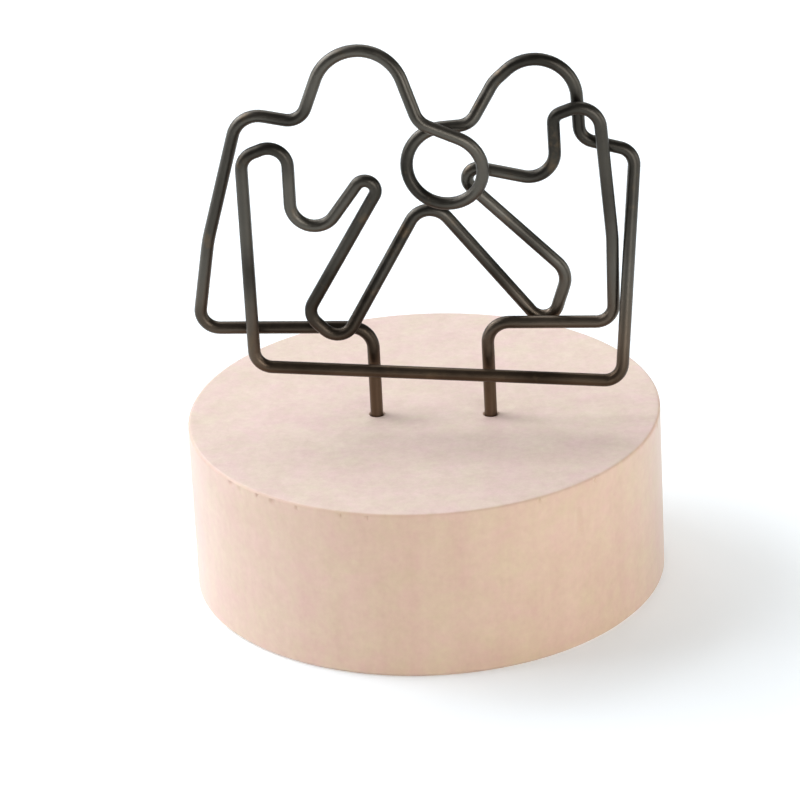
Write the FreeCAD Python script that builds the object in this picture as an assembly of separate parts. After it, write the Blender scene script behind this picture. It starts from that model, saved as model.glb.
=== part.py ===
import FreeCAD, Part
import math
import os

# A photo holder: one length of wire, bent into the outline of a gift box with a bow, stands
# with its two legs in a round wooden base. The wire goes round nearly twice, and a photo
# slides in between its front turn and its back turn.
# Millimetres. The origin is under the middle of the base, X runs along the line of the two
# legs, Y points away from the front, and Z is up.

# Wooden base
base_diameter = 60.0
base_height = 22.4
top_edge_chamfer = 0.3
bottom_edge_chamfer = 0.4

# Holes for the two legs
leg_spacing = 14.5
leg_middle_x = 1.4
leg_line_y = -1.3
hole_depth = 12.0
hole_clearance = 0.05

# Wire, and the air between its front turn and its back turn
wire_diameter = 1.6
turn_gap = 0.4

# Depth of each stretch of the wire: the front turn lies before the line of the legs and the
# back turn on or behind it
turn_pitch = wire_diameter + turn_gap
ring_front_y = leg_line_y - 1.2 * turn_pitch
ring_back_y = leg_line_y + 0.3 * turn_pitch
right_bow_y = leg_line_y + 1.1 * turn_pitch
bottom_rail_y = leg_line_y - 1.5 * turn_pitch
left_front_y = leg_line_y - 1.3 * turn_pitch
left_strip_y = leg_line_y - 1.1 * turn_pitch
peak_y = leg_line_y + 0.75 * turn_pitch
right_strip_y = leg_line_y + 1.1 * turn_pitch
right_tip_y = leg_line_y + 0.5 * turn_pitch
right_valley_y = leg_line_y + 0.2 * turn_pitch

# Heights are above the top of the base, and radii are to the middle of the wire
leg_bend_radius = 2.8
corner_bend_radius = 2.3
left_arch_radius = 2.4
strip_end_radius = 2.25
right_bow_radius = 5.05

# Straight rails of the box
left_rail_height = 12.1
right_rail_height = 12.7
bottom_rail_left_height = 8.0
bottom_rail_right_height = 6.0

# Upright sides of the box, where they meet its rails
outer_left_x = -27.5
outer_right_x = 25.7
inner_left_x = -20.6
inner_right_x = 24.6

left_leg_x = leg_middle_x - leg_spacing / 2
right_leg_x = leg_middle_x + leg_spacing / 2

# Bends of the back turn, each with the x and height of its middle and its radius, from the
# left leg to the right corner of the bottom rail
left_leg_bend = (left_leg_x - leg_bend_radius, left_rail_height - leg_bend_radius, leg_bend_radius)
left_rail_bend = (outer_left_x + corner_bend_radius, left_rail_height + corner_bend_radius,
                  corner_bend_radius)
left_side_bend = (-6.4, 19.7, 20.0)
left_shoulder = (-18.7, 37.4, 3.4)
left_dip = (-15.0, 42.6, 2.4)
left_bow = (-5.9, 43.5, 5.8)
ring_entry = (3.7, 42.8, 2.9)
ring = (4.3, 34.1, 4.8)
ring_exit = (5.95, 41.65, 2.6)
right_bow_rise = (14.45, 40.95, right_bow_radius)
right_bow = (15.65, 42.05, right_bow_radius)
right_dip = (23.0, 38.25, 2.15)
right_shoulder = (25.35, 33.15, 2.2)
bottom_right_corner = (outer_right_x - corner_bend_radius, bottom_rail_right_height + corner_bend_radius,
                       corner_bend_radius)

# Bends of the front turn, from the left corner of the bottom rail to the right leg
bottom_left_corner = (inner_left_x + corner_bend_radius, bottom_rail_left_height + corner_bend_radius,
                      corner_bend_radius)
left_arch_rise = (-18.4, 34.7, left_arch_radius)
left_arch_fall = (-17.4, 35.1, left_arch_radius)
left_valley = (-12.05, 30.05, 2.95)
left_tip = (-5.55, 31.8, 1.3)
left_strip_end_a = (-10.95, 15.3, strip_end_radius)
left_strip_end_b = (-10.0, 14.35, strip_end_radius)
peak = (1.9, 24.6, 2.8)
right_strip_end_a = (15.6, 14.45, 1.9)
right_strip_end_b = (15.3, 17.7, 3.2)
right_tip = (8.35, 31.75, 1.5)
right_valley = (14.5, 35.6, 3.4)
right_arch_rise = (19.3, 39.5, 1.45)
right_arch_fall = (20.95, 38.75, 2.75)
right_side_bend = (4.7, 23.7, 20.0)
right_rail_bend = (inner_right_x - corner_bend_radius, right_rail_height + corner_bend_radius,
                   corner_bend_radius)
right_leg_bend = (right_leg_x + leg_bend_radius, right_rail_height - leg_bend_radius, leg_bend_radius)

LEFT = 1
RIGHT = -1
LARGEST_TURN_OF_AN_ARC = math.radians(95)
SHORTEST_RUN = 0.001

# The wire's route: each bend, the way it turns there as seen from the front, and its y where
# it arrives and where it leaves
route = [
    (left_leg_bend, LEFT, leg_line_y, leg_line_y),
    (left_rail_bend, RIGHT, leg_line_y, leg_line_y),
    (left_side_bend, RIGHT, leg_line_y, leg_line_y),
    (left_shoulder, RIGHT, leg_line_y, leg_line_y),
    (left_dip, LEFT, leg_line_y, leg_line_y),
    (left_bow, RIGHT, leg_line_y, leg_line_y),
    (ring_entry, LEFT, ring_front_y, ring_front_y),
    (ring, RIGHT, ring_front_y, ring_back_y),
    (ring_exit, LEFT, ring_back_y, ring_back_y),
    (right_bow_rise, RIGHT, right_bow_y, right_bow_y),
    (right_bow, RIGHT, right_bow_y, right_bow_y),
    (right_dip, LEFT, right_bow_y, right_bow_y),
    (right_shoulder, RIGHT, right_bow_y, right_bow_y),
    (bottom_right_corner, RIGHT, bottom_rail_y, bottom_rail_y),
    (bottom_left_corner, RIGHT, bottom_rail_y, bottom_rail_y),
    (left_arch_rise, RIGHT, left_front_y, left_front_y),
    (left_arch_fall, RIGHT, left_front_y, left_front_y),
    (left_valley, LEFT, left_front_y, left_front_y),
    (left_tip, RIGHT, left_front_y, left_front_y),
    (left_strip_end_a, LEFT, left_strip_y, left_strip_y),
    (left_strip_end_b, LEFT, left_strip_y, left_strip_y),
    (peak, RIGHT, peak_y, peak_y),
    (right_strip_end_a, LEFT, right_strip_y, right_strip_y),
    (right_strip_end_b, LEFT, right_strip_y, right_strip_y),
    (right_tip, RIGHT, right_tip_y, right_tip_y),
    (right_valley, LEFT, right_valley_y, right_valley_y),
    (right_arch_rise, RIGHT, leg_line_y, leg_line_y),
    (right_arch_fall, RIGHT, leg_line_y, leg_line_y),
    (right_side_bend, RIGHT, leg_line_y, leg_line_y),
    (right_rail_bend, RIGHT, leg_line_y, leg_line_y),
    (right_leg_bend, LEFT, leg_line_y, leg_line_y),
]


def heading_between(near, far):
    """Heading of the straight run from one round pin to the next; a pin is x, height and
    radius, and the radius counts as plus where the wire turns left round it."""
    x_step = far[0] - near[0]
    height_step = far[1] - near[1]
    distance = math.hypot(x_step, height_step)
    return math.atan2(height_step, x_step) - math.asin((far[2] - near[2]) / distance)


def place(x, height, y):
    """Point of the wire's middle line."""
    return FreeCAD.Vector(x, y, base_height + height)


def corners_of_route():
    """Corner points of the wire's straight runs, and how far before and after each corner
    its bend reaches. A wide bend is shared between several corners."""
    left_end = (left_leg_x, -hole_depth, 0.0)
    right_end = (right_leg_x, -hole_depth, 0.0)
    pins = [(x, height, radius * side) for (x, height, radius), side, arriving, leaving in route]
    pins = [left_end] + pins + [right_end]
    headings = [heading_between(near, far) for near, far in zip(pins, pins[1:])]
    points = [place(left_leg_x, -hole_depth, leg_line_y)]
    reaches = []
    for (bend, side, arriving, leaving), before, after in zip(route, headings, headings[1:]):
        bend_x, bend_height, radius = bend
        turn = (after - before) * side % (2 * math.pi)
        count = math.ceil(turn / LARGEST_TURN_OF_AN_ARC)
        share = turn / count
        corner_radius = radius / math.cos(share / 2)
        flat_reach = radius * math.tan(share / 2)
        y_step = (leaving - arriving) / count
        for number in range(count):
            middle = before + side * share * (number + 0.5)
            x = bend_x + side * corner_radius * math.sin(middle)
            height = bend_height - side * corner_radius * math.cos(middle)
            points.append(place(x, height, arriving + y_step * (number + 0.5)))
            reaches.append(math.hypot(flat_reach, y_step / 2))
    points.append(place(right_leg_x, -hole_depth, leg_line_y))
    return points, reaches


def path_of_wire():
    """Middle line of the wire: straight runs joined by arcs that leave no kink."""
    points, reaches = corners_of_route()
    edges = []
    start = points[0]
    for before, corner, after, reach in zip(points, points[1:], points[2:], reaches):
        arriving = (corner - before).normalize()
        leaving = (after - corner).normalize()
        half_turn = arriving.getAngle(leaving) / 2
        inward = (leaving - arriving).normalize()
        arc_start = corner - arriving * reach
        arc_end = corner + leaving * reach
        radius = reach / math.tan(half_turn)
        arc_middle = corner + inward * radius * (1 / math.cos(half_turn) - 1)
        if (arc_start - start).Length > SHORTEST_RUN:
            edges.append(Part.LineSegment(start, arc_start).toShape())
        edges.append(Part.Arc(arc_start, arc_middle, arc_end).toShape())
        start = arc_end
    edges.append(Part.LineSegment(start, points[-1]).toShape())
    return Part.Wire(edges)


def make_wire_clip():
    """The bent wire, round in section, with its ends cut flat."""
    left_end = place(left_leg_x, -hole_depth, leg_line_y)
    section = Part.Face(Part.Wire(Part.makeCircle(wire_diameter / 2, left_end, FreeCAD.Vector(0, 0, 1))))
    return path_of_wire().makePipe(section)


def make_wooden_base():
    """A turned disc with its sharp rims taken off and two blind holes for the legs."""
    radius = base_diameter / 2
    outline = [
        FreeCAD.Vector(0, 0, 0),
        FreeCAD.Vector(radius - bottom_edge_chamfer, 0, 0),
        FreeCAD.Vector(radius, 0, bottom_edge_chamfer),
        FreeCAD.Vector(radius, 0, base_height - top_edge_chamfer),
        FreeCAD.Vector(radius - top_edge_chamfer, 0, base_height),
        FreeCAD.Vector(0, 0, base_height),
        FreeCAD.Vector(0, 0, 0),
    ]
    half_section = Part.Face(Part.makePolygon(outline))
    disc = half_section.revolve(FreeCAD.Vector(0, 0, 0), FreeCAD.Vector(0, 0, 1), 360)
    hole_radius = wire_diameter / 2 + hole_clearance
    holes = [Part.makeCylinder(hole_radius, hole_depth,
                               FreeCAD.Vector(leg_x, leg_line_y, base_height - hole_depth))
             for leg_x in (left_leg_x, right_leg_x)]
    return disc.cut(holes).Solids[0]


os.makedirs("parts", exist_ok=True)
make_wooden_base().exportStep("parts/wooden_base.step")
make_wire_clip().exportStep("parts/wire_clip.step")
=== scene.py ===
import math
import bpy
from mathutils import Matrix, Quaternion, Vector


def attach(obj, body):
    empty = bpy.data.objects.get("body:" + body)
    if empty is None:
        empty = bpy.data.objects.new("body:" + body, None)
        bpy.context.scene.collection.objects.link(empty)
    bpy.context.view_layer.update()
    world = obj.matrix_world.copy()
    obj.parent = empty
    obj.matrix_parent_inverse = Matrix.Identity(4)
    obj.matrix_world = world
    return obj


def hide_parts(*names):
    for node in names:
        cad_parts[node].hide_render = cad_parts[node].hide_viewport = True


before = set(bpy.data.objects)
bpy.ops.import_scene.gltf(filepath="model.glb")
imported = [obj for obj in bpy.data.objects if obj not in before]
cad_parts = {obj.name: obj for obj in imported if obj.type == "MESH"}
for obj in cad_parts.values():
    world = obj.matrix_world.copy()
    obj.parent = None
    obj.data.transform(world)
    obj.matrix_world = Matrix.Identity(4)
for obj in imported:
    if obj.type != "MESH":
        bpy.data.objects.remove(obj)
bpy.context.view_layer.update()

# The wooden base: a disc cut across a beech rod, turned on its side and sanded by hand on top.
# It is left bare, so the end grain shows as fine specks on top and the long grain as faint
# upright streaks round the side. A few fibres have torn out along its top rim.
base_radius = 0.030
base_height = 0.0224
top_rim = 0.0004
bottom_rim = 0.0004
rim_zone = 0.001
flat_tolerance = 0.00001
flat_border = 0.0003
leg_places = ((-0.00585, -0.0013), (0.00865, -0.0013))
leg_hole_radius = 0.00085
leg_hole_depth = 0.012
countersink = 0.0002
countersink_spread = 1.45
sharpest_smooth_edge = math.radians(35)


def nothing_selected():
    """Leaves no object selected, so that an operator acts on its own piece alone."""
    bpy.ops.object.select_all(action="DESELECT")


def select_places(piece, chosen):
    """In edit mode on the piece, selects just the points whose place passes the test."""
    bpy.ops.object.mode_set(mode="EDIT")
    bpy.ops.mesh.select_mode(type="VERT")
    bpy.ops.mesh.select_all(action="DESELECT")
    bpy.ops.object.mode_set(mode="OBJECT")
    for point in piece.data.vertices:
        point.select = chosen(point.co)
    bpy.ops.object.mode_set(mode="EDIT")


nothing_selected()
bpy.ops.mesh.primitive_cylinder_add(vertices=720, radius=base_radius, depth=base_height,
                                    location=(0, 0, base_height / 2))
base = bpy.context.object
base.name = "turned_base"
bpy.ops.object.transform_apply(location=True, rotation=True, scale=True)

# The lathe tool leaves a fine slope on the bottom rim, and sanding rounds the top one
select_places(base, lambda spot: spot.z < rim_zone)
bpy.ops.mesh.bevel(offset=bottom_rim, segments=1, affect="EDGES")
select_places(base, lambda spot: spot.z > base_height - rim_zone)
bpy.ops.mesh.bevel(offset=top_rim, segments=4, affect="EDGES")
bpy.ops.object.mode_set(mode="OBJECT")

# A narrow ring on the top keeps the shading of the flat apart from the round of the rim
select_places(base, lambda spot: spot.z > base_height - flat_tolerance)
bpy.ops.mesh.select_mode(type="FACE")
bpy.ops.mesh.inset(thickness=flat_border)
bpy.ops.object.mode_set(mode="OBJECT")

# Rings of points round the side give the nick and the torn fibres their shape
nick_rings = (0.0152, 0.0155, 0.016, 0.0187, 0.0192, 0.0195)
torn_fibre_rings = (0.0213, 0.0215, 0.0218)
for height in nick_rings + torn_fibre_rings:
    select_places(base, lambda spot: True)
    bpy.ops.mesh.bisect(plane_co=(0, 0, height), plane_no=(0, 0, 1))
    bpy.ops.object.mode_set(mode="OBJECT")


def press_in(azimuth, height, tall, width, depth):
    """Presses a patch of the side inwards. Its azimuth is in degrees, 0 at the front and 90 on
    the right, and height is the level of its middle."""
    turn = math.radians(azimuth)
    outward = Vector((math.sin(turn), -math.cos(turn), 0))
    middle = outward * base_radius
    select_places(base, lambda spot: abs(spot.z - height) < tall / 2
                  and (spot.xy - middle.xy).length < width / 2)
    bpy.ops.transform.translate(value=outward * -depth)
    bpy.ops.object.mode_set(mode="OBJECT")


# Fibres torn out just under the rim: the azimuth of each, its width and how deep it went
torn_fibres = (
    (-48.1, 0.0009, 0.0002),
    (-44.5, 0.0004, 0.00016),
    (-38.5, 0.0005, 0.0002),
    (-33.5, 0.0007, 0.00019),
    (-26.5, 0.0005, 0.00018),
    (-15.0, 0.0005, 0.00022),
    (-8.5, 0.0004, 0.0002),
    (-3.5, 0.0004, 0.00013),
    (9.0, 0.0005, 0.00013),
    (16.0, 0.0004, 0.00013),
    (33.0, 0.0004, 0.00022),
    (49.5, 0.0005, 0.00022),
    (83.0, 0.0006, 0.00012),
    (127.5, 0.0004, 0.00015),
    (152.0, 0.0007, 0.00012),
    (201.5, 0.0005, 0.00016),
    (239.0, 0.0004, 0.00011),
    (266.0, 0.0006, 0.00012),
)
for azimuth, width, depth in torn_fibres:
    press_in(azimuth, height=0.0219, tall=0.0003, width=width, depth=depth)

# A nick 3 mm tall stands upright on the right of the front
press_in(azimuth=44.0, height=0.01735, tall=0.003, width=0.0007, depth=0.0002)

# Two holes are drilled down for the legs. The drill widens into a cone from a little below the
# top to as much above it, which leaves a slight countersink at the mouth.
for x, y in leg_places:
    nothing_selected()
    bpy.ops.mesh.primitive_cylinder_add(vertices=48, radius=leg_hole_radius, depth=leg_hole_depth,
                                        location=(x, y, base_height - countersink - leg_hole_depth / 2))
    drill = bpy.context.object
    bpy.ops.object.transform_apply(location=True, rotation=True, scale=True)
    select_places(drill, lambda spot: spot.z > base_height - rim_zone)
    bpy.ops.mesh.extrude_region_move(TRANSFORM_OT_translate={"value": (0, 0, 2 * countersink)})
    bpy.ops.transform.resize(value=(countersink_spread, countersink_spread, 1),
                             center_override=(x, y, base_height))
    bpy.ops.object.mode_set(mode="OBJECT")
    nothing_selected()
    base.select_set(True)
    bpy.context.view_layer.objects.active = base
    hole = base.modifiers.new("leg_hole", "BOOLEAN")
    hole.object = drill
    bpy.ops.object.modifier_apply(modifier=hole.name)
    bpy.data.objects.remove(drill)
bpy.ops.object.shade_smooth_by_angle(angle=sharpest_smooth_edge)


def linear(hex_colour):
    """A colour written as an sRGB hex value, as the shader wants it."""
    channels = [int(hex_colour[start:start + 2], 16) / 255 for start in (0, 2, 4)]
    return [c / 12.92 if c <= 0.04045 else ((c + 0.055) / 1.055) ** 2.4 for c in channels] + [1.0]


def add_node(tree, kind, settings=(), values=(), links=(), stops=()):
    """Adds one node; settings are its properties, values its own numbers, links what feeds it,
    and stops the positions and colours along a colour ramp."""
    node = tree.nodes.new(kind)
    for name, value in settings:
        setattr(node, name, value)
    for socket, value in values:
        node.inputs[socket].default_value = value
    for socket, source in links:
        tree.links.new(source, node.inputs[socket])
    for number, (position, hex_colour) in enumerate(stops):
        node.color_ramp.elements[number].position = position
        node.color_ramp.elements[number].color = linear(hex_colour)
    return node


# Bare beech, turned and sanded: pale pinkish tan, satin where the tool left it, with long grain
# up the side and the cut ends of the fibres on top. A noise's scale is how many of its patches
# lie along a metre.
beech = bpy.data.materials.new("sanded_beech")
beech.use_nodes = True
grain = beech.node_tree
beech_shader = grain.nodes["Principled BSDF"]
beech_shader.inputs["Sheen Weight"].default_value = 0.3
beech_shader.inputs["Sheen Roughness"].default_value = 0.4
wood_place = add_node(grain, "ShaderNodeTexCoord").outputs["Object"]
facing = add_node(grain, "ShaderNodeNewGeometry").outputs["Normal"]
facing_up = add_node(grain, "ShaderNodeSeparateXYZ", links=(("Vector", facing),)).outputs["Z"]
# The cut ends of the fibres face straight up and straight down
levelness = add_node(grain, "ShaderNodeMath", settings=(("operation", "ABSOLUTE"),),
                     links=(("Value", facing_up),)).outputs["Value"]
# Where the surface faces up or down it takes the paler end colour, which holds a painted sheen as well as the
# end grain's own colour
end_grain_and_sheen_share = add_node(grain, "ShaderNodeMapRange", values=(("From Min", 0.75), ("From Max", 0.97)),
                     links=(("Value", levelness),)).outputs["Result"]

# The turned side is satin, and the sanded rims and ends are duller
wood_roughness = add_node(grain, "ShaderNodeMapRange",
                          values=(("From Min", 0.05), ("From Max", 0.5), ("To Min", 0.35), ("To Max", 0.55)),
                          links=(("Value", levelness),)).outputs["Result"]
grain.links.new(wood_roughness, beech_shader.inputs["Roughness"])

# Long grain: streaks 1 to 3 mm wide and several centimetres tall
long_grain_place = add_node(grain, "ShaderNodeMapping", values=(("Scale", (1, 1, 0.04)),),
                            links=(("Vector", wood_place),)).outputs["Vector"]
streaks = add_node(grain, "ShaderNodeTexNoise",
                   values=(("Scale", 420.0), ("Detail", 3.0), ("Roughness", 0.5)),
                   links=(("Vector", long_grain_place),)).outputs["Fac"]
# Fibres 0.3 mm across
fibres = add_node(grain, "ShaderNodeTexNoise",
                  values=(("Scale", 3200.0), ("Detail", 2.0), ("Roughness", 0.5)),
                  links=(("Vector", long_grain_place),)).outputs["Fac"]
# Small mottling under 1 mm across, left by the sandpaper, on the side and on top alike
mottle = add_node(grain, "ShaderNodeTexNoise",
                  values=(("Scale", 1100.0), ("Detail", 3.0), ("Roughness", 0.6)),
                  links=(("Vector", wood_place),)).outputs["Fac"]
# Soft cloudy tone 5 to 10 mm across
side_clouds = add_node(grain, "ShaderNodeTexNoise",
                       values=(("Scale", 130.0), ("Detail", 6.0), ("Roughness", 0.78)),
                       links=(("Vector", wood_place),)).outputs["Fac"]
streak_tone = add_node(grain, "ShaderNodeMix", settings=(("data_type", "FLOAT"),),
                       values=(("Factor", 0.2),), links=(("A", streaks), ("B", fibres))).outputs["Result"]
side_blend = add_node(grain, "ShaderNodeMix", settings=(("data_type", "FLOAT"),), values=(("Factor", 0.35),),
                      links=(("A", side_clouds), ("B", streak_tone))).outputs["Result"]
side_tone = add_node(grain, "ShaderNodeMix", settings=(("data_type", "FLOAT"),), values=(("Factor", 0.3),),
                     links=(("A", side_blend), ("B", mottle))).outputs["Result"]
side_ramp = add_node(grain, "ShaderNodeValToRGB", links=(("Fac", side_tone),),
                     stops=((0.36, "dab9a8"), (0.64, "e5cab6"))).outputs["Color"]
# The side is painted a little yellower from the middle to the right, for the warmer light falling on it
# there, and stays pinker towards the left under the cooler daylight
from_left = add_node(grain, "ShaderNodeSeparateXYZ", links=(("Vector", wood_place),)).outputs["X"]
painted_warm_light_share = add_node(grain, "ShaderNodeMapRange", values=(("From Min", -0.016), ("From Max", 0.0)),
                    links=(("Value", from_left),)).outputs["Result"]
# Multiplies in the painted yellower tint of the warmer light on the right
side_colour = add_node(grain, "ShaderNodeMix", settings=(("data_type", "RGBA"), ("blend_type", "MULTIPLY")),
                       values=(("B", linear("fffcf6")),),
                       links=(("Factor", painted_warm_light_share), ("A", side_ramp))).outputs["Result"]

# End grain: clouds 2 to 5 mm across and specks 0.2 mm across
clouds = add_node(grain, "ShaderNodeTexNoise",
                  values=(("Scale", 260.0), ("Detail", 6.0), ("Roughness", 0.78)),
                  links=(("Vector", wood_place),)).outputs["Fac"]
specks = add_node(grain, "ShaderNodeTexNoise",
                  values=(("Scale", 4200.0), ("Detail", 1.0), ("Roughness", 0.5)),
                  links=(("Vector", wood_place),)).outputs["Fac"]
end_blend = add_node(grain, "ShaderNodeMix", settings=(("data_type", "FLOAT"),), values=(("Factor", 0.2),),
                     links=(("A", clouds), ("B", specks))).outputs["Result"]
end_tone = add_node(grain, "ShaderNodeMix", settings=(("data_type", "FLOAT"),), values=(("Factor", 0.35),),
                    links=(("A", end_blend), ("B", mottle))).outputs["Result"]
# The ends are painted paler and pinker than the side: partly the end grain's own colour, partly a painted
# sheen of the bright light glancing off the top
end_grain_and_sheen_ramp = add_node(grain, "ShaderNodeValToRGB", links=(("Fac", end_tone),),
                    stops=((0.36, "e0c7ba"), (0.64, "efd9cd"))).outputs["Color"]
wood_colour = add_node(grain, "ShaderNodeMix", settings=(("data_type", "RGBA"),),
                       links=(("Factor", end_grain_and_sheen_share), ("A", side_colour), ("B", end_grain_and_sheen_ramp))).outputs["Result"]
# Beech turns a little pinker or yellower from place to place, over 1 to 5 mm
tint = add_node(grain, "ShaderNodeTexNoise",
                values=(("Scale", 240.0), ("Detail", 4.0), ("Roughness", 0.7), ("Distortion", 0.3)),
                links=(("Vector", wood_place),)).outputs["Fac"]
tint_ramp = add_node(grain, "ShaderNodeValToRGB", links=(("Fac", tint),),
                     stops=((0.33, "fff8fb"), (0.67, "fbfff4"))).outputs["Color"]
tinted = add_node(grain, "ShaderNodeMix", settings=(("data_type", "RGBA"), ("blend_type", "MULTIPLY")),
                  values=(("Factor", 1.0),), links=(("A", wood_colour), ("B", tint_ramp))).outputs["Result"]
grain.links.new(tinted, beech_shader.inputs["Base Color"])
wood_relief = add_node(grain, "ShaderNodeBump", values=(("Strength", 0.25), ("Distance", 0.00004)),
                       links=(("Height", streak_tone),)).outputs["Normal"]
grain.links.new(wood_relief, beech_shader.inputs["Normal"])

base.data.materials.append(beech)
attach(base, "root")
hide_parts("wooden_base")

# The wire clip: one length of drawn steel wire, 1.6 mm thick, bent by hand round pins and
# pressed into the two holes of the base. It is blackened, so it stays a dark satin metal, with
# cloudy patches and a few rubbed places where a warmer brown shows through.
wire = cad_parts["wire_clip"]
blackened = bpy.data.materials.new("blackened_steel_wire")
blackened.use_nodes = True
finish = blackened.node_tree
wire_shader = finish.nodes["Principled BSDF"]
wire_shader.inputs["Metallic"].default_value = 1.0
wire_place = add_node(finish, "ShaderNodeTexCoord").outputs["Object"]
# The tone of the wire changes from stretch to stretch, over some 15 mm. The shift of the pattern brings the
# lighter stretches to where the real wire has them.
stretch_place = add_node(finish, "ShaderNodeMapping", values=(("Location", (0.3, 0.14, 0)),),
                         links=(("Vector", wire_place),)).outputs["Vector"]
stretches = add_node(finish, "ShaderNodeTexNoise",
                     values=(("Scale", 75.0), ("Detail", 1.0), ("Roughness", 0.5)),
                     links=(("Vector", stretch_place),)).outputs["Fac"]
stretch_tone = add_node(finish, "ShaderNodeMapRange", values=(("From Min", 0.66), ("From Max", 0.38)),
                        links=(("Value", stretches),)).outputs["Result"]
# Cloudy patches 1 to 2 mm across
patches = add_node(finish, "ShaderNodeTexNoise",
                   values=(("Scale", 700.0), ("Detail", 4.0), ("Roughness", 0.65)),
                   links=(("Vector", wire_place),)).outputs["Fac"]
wire_tone = add_node(finish, "ShaderNodeMix", settings=(("data_type", "FLOAT"),), values=(("Factor", 0.3),),
                     links=(("A", stretch_tone), ("B", patches))).outputs["Result"]
black_ramp = add_node(finish, "ShaderNodeValToRGB", links=(("Fac", wire_tone),),
                      stops=((0.15, "37342f"), (0.85, "59554e"))).outputs["Color"]
# Down at the legs and the bottom rail the two tones are painted browner: a painted reflection of the wooden
# base just below them
wood_reflection_ramp = add_node(finish, "ShaderNodeValToRGB", links=(("Fac", wire_tone),),
                      stops=((0.15, "3f342a"), (0.85, "635344"))).outputs["Color"]
wire_height = add_node(finish, "ShaderNodeSeparateXYZ", links=(("Vector", wire_place),)).outputs["Z"]
# The painted brown reflection of the wood grows towards the bottom of the wire
wood_reflection_share = add_node(finish, "ShaderNodeMapRange", values=(("From Min", 0.042), ("From Max", 0.029)),
                       links=(("Value", wire_height),)).outputs["Result"]
# Mixes the black with the painted brown reflection of the wood, by height
blackening_and_wood_reflection = add_node(finish, "ShaderNodeMix", settings=(("data_type", "RGBA"),),
                      links=(("Factor", wood_reflection_share), ("A", black_ramp), ("B", wood_reflection_ramp))).outputs["Result"]
# Rubbed places a few millimetres apart, where a warmer brown shows through
rubbed = add_node(finish, "ShaderNodeTexNoise",
                  values=(("Scale", 330.0), ("Detail", 3.0), ("Roughness", 0.6)),
                  links=(("Vector", wire_place),)).outputs["Fac"]
rubbed_share = add_node(finish, "ShaderNodeMapRange",
                        values=(("From Min", 0.6), ("From Max", 0.75), ("To Min", 0.0), ("To Max", 0.5)),
                        links=(("Value", rubbed),)).outputs["Result"]
wire_colour = add_node(finish, "ShaderNodeMix", settings=(("data_type", "RGBA"),),
                       values=(("B", linear("685744")),),
                       links=(("Factor", rubbed_share), ("A", blackening_and_wood_reflection))).outputs["Result"]
finish.links.new(wire_colour, wire_shader.inputs["Base Color"])
wire_roughness = add_node(finish, "ShaderNodeMapRange",
                          values=(("From Min", 0.3), ("From Max", 0.7), ("To Min", 0.33), ("To Max", 0.43)),
                          links=(("Value", patches),)).outputs["Result"]
finish.links.new(wire_roughness, wire_shader.inputs["Roughness"])
# Fine marks of the bending pins and of handling, 0.4 mm across, break up the highlights
marks = add_node(finish, "ShaderNodeTexNoise",
                 values=(("Scale", 2500.0), ("Detail", 3.0), ("Roughness", 0.6)),
                 links=(("Vector", wire_place),)).outputs["Fac"]
wire_relief = add_node(finish, "ShaderNodeBump", values=(("Strength", 0.5), ("Distance", 0.00003)),
                       links=(("Height", marks),)).outputs["Normal"]
finish.links.new(wire_relief, wire_shader.inputs["Normal"])
wire.data.materials.clear()
wire.data.materials.append(blackened)

# The floor: a sheet of matt white paper, on which the base stands by its own weight. It is seen
# as plain white, except where the shadow lies on it.
paper_glow = 0.23
nothing_selected()
bpy.ops.mesh.primitive_plane_add(size=6.0, location=(0, 0, 0))
floor = bpy.context.object
floor.name = "floor"
paper = bpy.data.materials.new("white_paper")
paper.use_nodes = True
sheet = paper.node_tree
paper_shader = sheet.nodes["Principled BSDF"]
paper_shader.inputs["Base Color"].default_value = linear("eef4f6")
paper_shader.inputs["Roughness"].default_value = 0.9
# The glow is only for the eye of the camera and for reflections: it puts no light on the object
ray = add_node(sheet, "ShaderNodeLightPath")
seen_or_mirrored = add_node(sheet, "ShaderNodeMath", settings=(("operation", "MAXIMUM"),),
                            links=((0, ray.outputs["Is Camera Ray"]), (1, ray.outputs["Is Glossy Ray"])))
seen = add_node(sheet, "ShaderNodeMath", settings=(("operation", "MAXIMUM"),),
                links=((0, seen_or_mirrored.outputs["Value"]), (1, ray.outputs["Is Transmission Ray"])))
glow_strength = add_node(sheet, "ShaderNodeMath", settings=(("operation", "MULTIPLY"),),
                         values=((1, paper_glow),), links=((0, seen.outputs["Value"]),))
glow = add_node(sheet, "ShaderNodeEmission", links=(("Strength", glow_strength.outputs["Value"]),))
both = add_node(sheet, "ShaderNodeAddShader",
                links=((0, paper_shader.outputs["BSDF"]), (1, glow.outputs["Emission"])))
sheet.links.new(both.outputs["Shader"], sheet.nodes["Material Output"].inputs["Surface"])
floor.data.materials.append(paper)

# Light: a broad window on the left with a brighter pane towards the back, white walls that send
# some of it back from the right, the front and behind, and the even light of the room
scene = bpy.context.scene
scene.view_settings.view_transform = "Standard"
world = bpy.data.worlds.new("studio")
scene.world = world
world.use_nodes = True
room_light = world.node_tree.nodes["Background"]
room_light.inputs["Color"].default_value = (1, 1, 1, 1)
room_light.inputs["Strength"].default_value = 0.17

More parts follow.
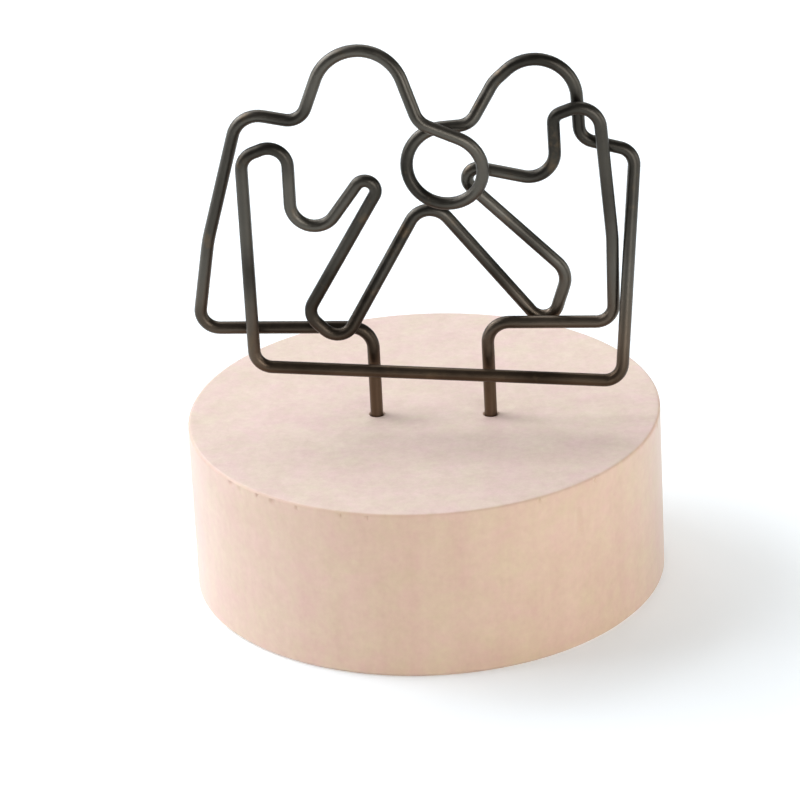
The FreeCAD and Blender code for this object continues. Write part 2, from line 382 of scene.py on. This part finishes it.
# Each lamp is a metre away and looks at the object. Its row gives its azimuth, 0 at the front and
# 90 on the right, and elevation in degrees, width and height in metres, power in watts and colour.
daylight = (0.97, 1.0, 1.06)
white = (1.0, 1.0, 1.0)
soft_lamps = (
    ("bright_pane", -121, 30, 0.5, 0.35, 3.6, daylight),
    ("window", -90, 31, 0.6, 1.1, 7.75, daylight),
    ("back_window", -135, 48, 0.6, 0.6, 2.3, daylight),
    ("back_wall", 180, 48, 0.6, 0.6, 2.05, white),
    ("front_right_wall", 30, 16, 0.55, 0.5, 3.9, white),
    ("right_wall", 90, 16, 0.55, 0.5, 2.95, white),
)
for name, azimuth, elevation, width, height, power, colour in soft_lamps:
    turn = math.radians(azimuth)
    rise = math.radians(elevation)
    away = Vector((math.sin(turn) * math.cos(rise), -math.cos(turn) * math.cos(rise), math.sin(rise)))
    lamp = bpy.data.lights.new(name, "AREA")
    lamp.shape = "RECTANGLE"
    lamp.size = width
    lamp.size_y = height
    lamp.energy = power
    lamp.color = colour
    holder = bpy.data.objects.new(name, lamp)
    holder.location = away
    holder.rotation_mode = "QUATERNION"
    holder.rotation_quaternion = (-away).to_track_quat("-Z", "Y")
    scene.collection.objects.link(holder)

# The camera stands where the photograph was taken from: a little to the right of the front,
# about 60 cm away, looking down at the base. It was held slightly askew, which the roll gives.
camera_azimuth = math.radians(6.49)
camera_elevation = math.radians(25.13)
camera_roll = math.radians(-2.935)
camera_distance = 0.6206
camera_aim = Vector((-0.00298, 0, 0.02371))
back = Vector((math.sin(camera_azimuth) * math.cos(camera_elevation),
               -math.cos(camera_azimuth) * math.cos(camera_elevation),
               math.sin(camera_elevation)))
lens = bpy.data.cameras.new("camera")
lens.lens = 219.99
lens.sensor_width = 36.0
lens.clip_start = 0.01
camera = bpy.data.objects.new("camera", lens)
camera.location = camera_aim + back * camera_distance
camera.rotation_mode = "QUATERNION"
camera.rotation_quaternion = (-back).to_track_quat("-Z", "Y") @ Quaternion((0, 0, 1), camera_roll)
scene.collection.objects.link(camera)
scene.camera = camera
